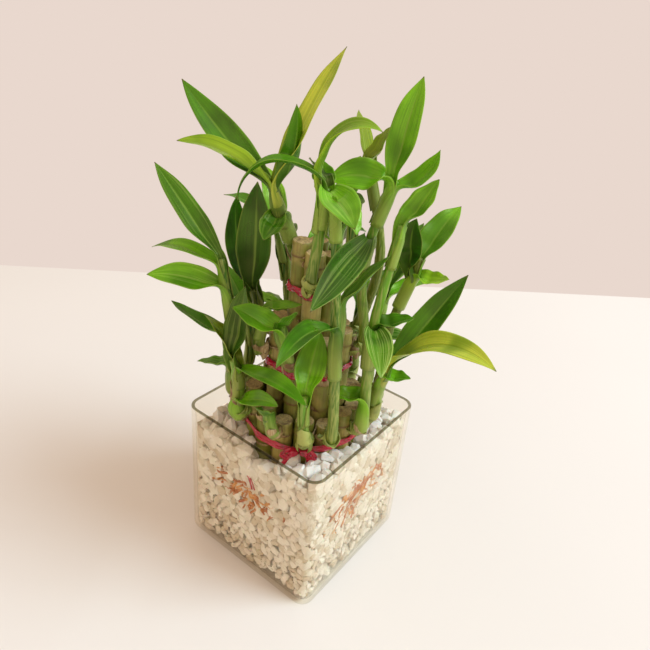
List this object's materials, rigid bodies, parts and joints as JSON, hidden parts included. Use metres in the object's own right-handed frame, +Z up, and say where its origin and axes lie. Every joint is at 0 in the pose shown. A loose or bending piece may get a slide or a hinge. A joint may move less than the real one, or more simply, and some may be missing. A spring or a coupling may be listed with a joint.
{
  "type": "potted lucky bamboo",
  "caption": "Tiered bundle of short leafy bamboo-like canes tied with red ribbon, standing among white stone chips in an open square glass vase.",
  "frame": {"origin": "centre of the vase's underside", "axes": "+Z up along the canes; the vase's walls face X and Y, and the ribbon's knot is in the -Y, +X quarter"},
  "size_m": [0.2024, 0.1754, 0.2984],
  "materials": {
    "glass": "clear polished glass with a faint warm tint",
    "stone_chips": "dry, dull, broken faces",
    "cane_bark": "smooth olive-green living bark with a low sheen",
    "leaf": "waxy living leaf with a soft gloss",
    "satin_ribbon": "shiny satin",
    "roots": "dull, fibrous"
  },
  "bodies": {
    "root": {"vase": "glass", "gravel": "stone_chips", "roots": "roots", "cane_outer_1": "cane_bark", "cane_outer_2": "cane_bark", "cane_outer_3": "cane_bark", "cane_outer_4": "cane_bark", "cane_outer_5": "cane_bark", "cane_outer_6": "cane_bark", "cane_outer_7": "cane_bark", "cane_outer_8": "cane_bark", "cane_outer_9": "cane_bark", "cane_outer_10": "cane_bark", "cane_outer_11": "cane_bark", "cane_outer_12": "cane_bark", "cane_outer_13": "cane_bark", "cane_outer_14": "cane_bark", "cane_outer_15": "cane_bark", "cane_outer_16": "cane_bark", "cane_middle_1": "cane_bark", "cane_middle_2": "cane_bark", "cane_middle_3": "cane_bark", "cane_middle_4": "cane_bark", "cane_middle_5": "cane_bark", "cane_middle_6": "cane_bark", "cane_middle_7": "cane_bark", "cane_middle_8": "cane_bark", "cane_inner_1": "cane_bark", "cane_inner_2": "cane_bark", "cane_inner_3": "cane_bark", "cane_inner_4": "cane_bark", "shoot_outer_1": "leaf", "shoot_outer_2": "leaf", "shoot_outer_3": "leaf", "shoot_outer_5": "leaf", "shoot_outer_6": "leaf", "shoot_outer_7": "leaf", "shoot_outer_8": "leaf", "shoot_outer_9": "leaf", "shoot_outer_10": "leaf", "shoot_outer_11": "leaf", "shoot_outer_12": "leaf", "shoot_outer_14": "leaf", "shoot_outer_15": "leaf", "shoot_middle_1": "leaf", "shoot_middle_2": "leaf", "shoot_middle_3": "leaf", "shoot_middle_4": "leaf", "shoot_middle_5": "leaf", "shoot_middle_6": "leaf", "shoot_middle_7": "leaf", "shoot_middle_8": "leaf", "shoot_inner_2": "leaf", "shoot_inner_3": "leaf", "shoot_inner_4": "leaf", "ribbon_foot": "satin_ribbon", "ribbon_lower": "satin_ribbon", "ribbon_middle": "satin_ribbon", "ribbon_top": "satin_ribbon"}
  },
  "joints": []
}
